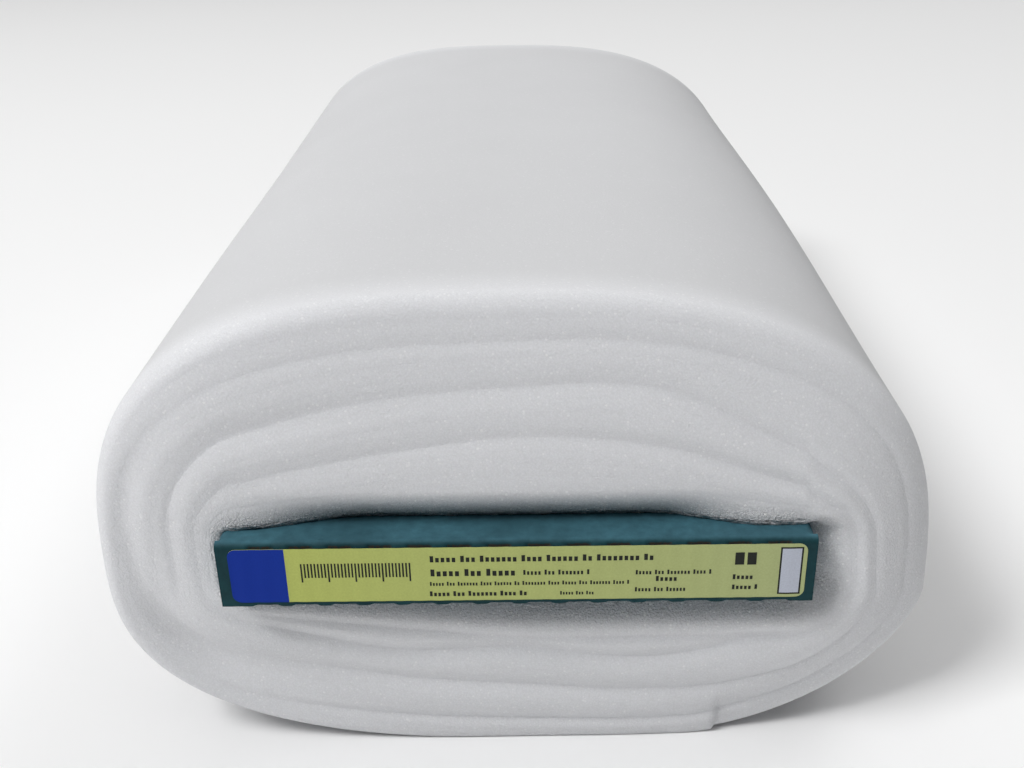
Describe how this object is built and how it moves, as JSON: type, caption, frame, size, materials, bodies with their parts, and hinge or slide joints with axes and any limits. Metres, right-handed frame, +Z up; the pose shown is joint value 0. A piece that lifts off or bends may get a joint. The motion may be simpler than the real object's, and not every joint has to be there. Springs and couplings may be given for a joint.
{
  "type": "roll of foam stabilizer",
  "caption": "Roll of soft white foam stabilizer wound flat round a folded teal board, lying on its side, with a plain printed label on the board's end.",
  "frame": {"origin": "bottom centre of the bounding box, on the roll's flat spot", "axes": "+Z up from the flat spot; Y along the roll's length, the labelled end towards -Y; X across its width"},
  "size_m": [0.296, 0.5247, 0.175],
  "materials": {
    "foam": "matt white open-cell foam",
    "board": "teal corrugated board, slightly satin",
    "label": null
  },
  "bodies": {
    "root": {"foam_roll": "foam", "core_sleeve": "board", "core_end_front": "board", "core_end_back": "board", "label": "label"}
  },
  "joints": []
}
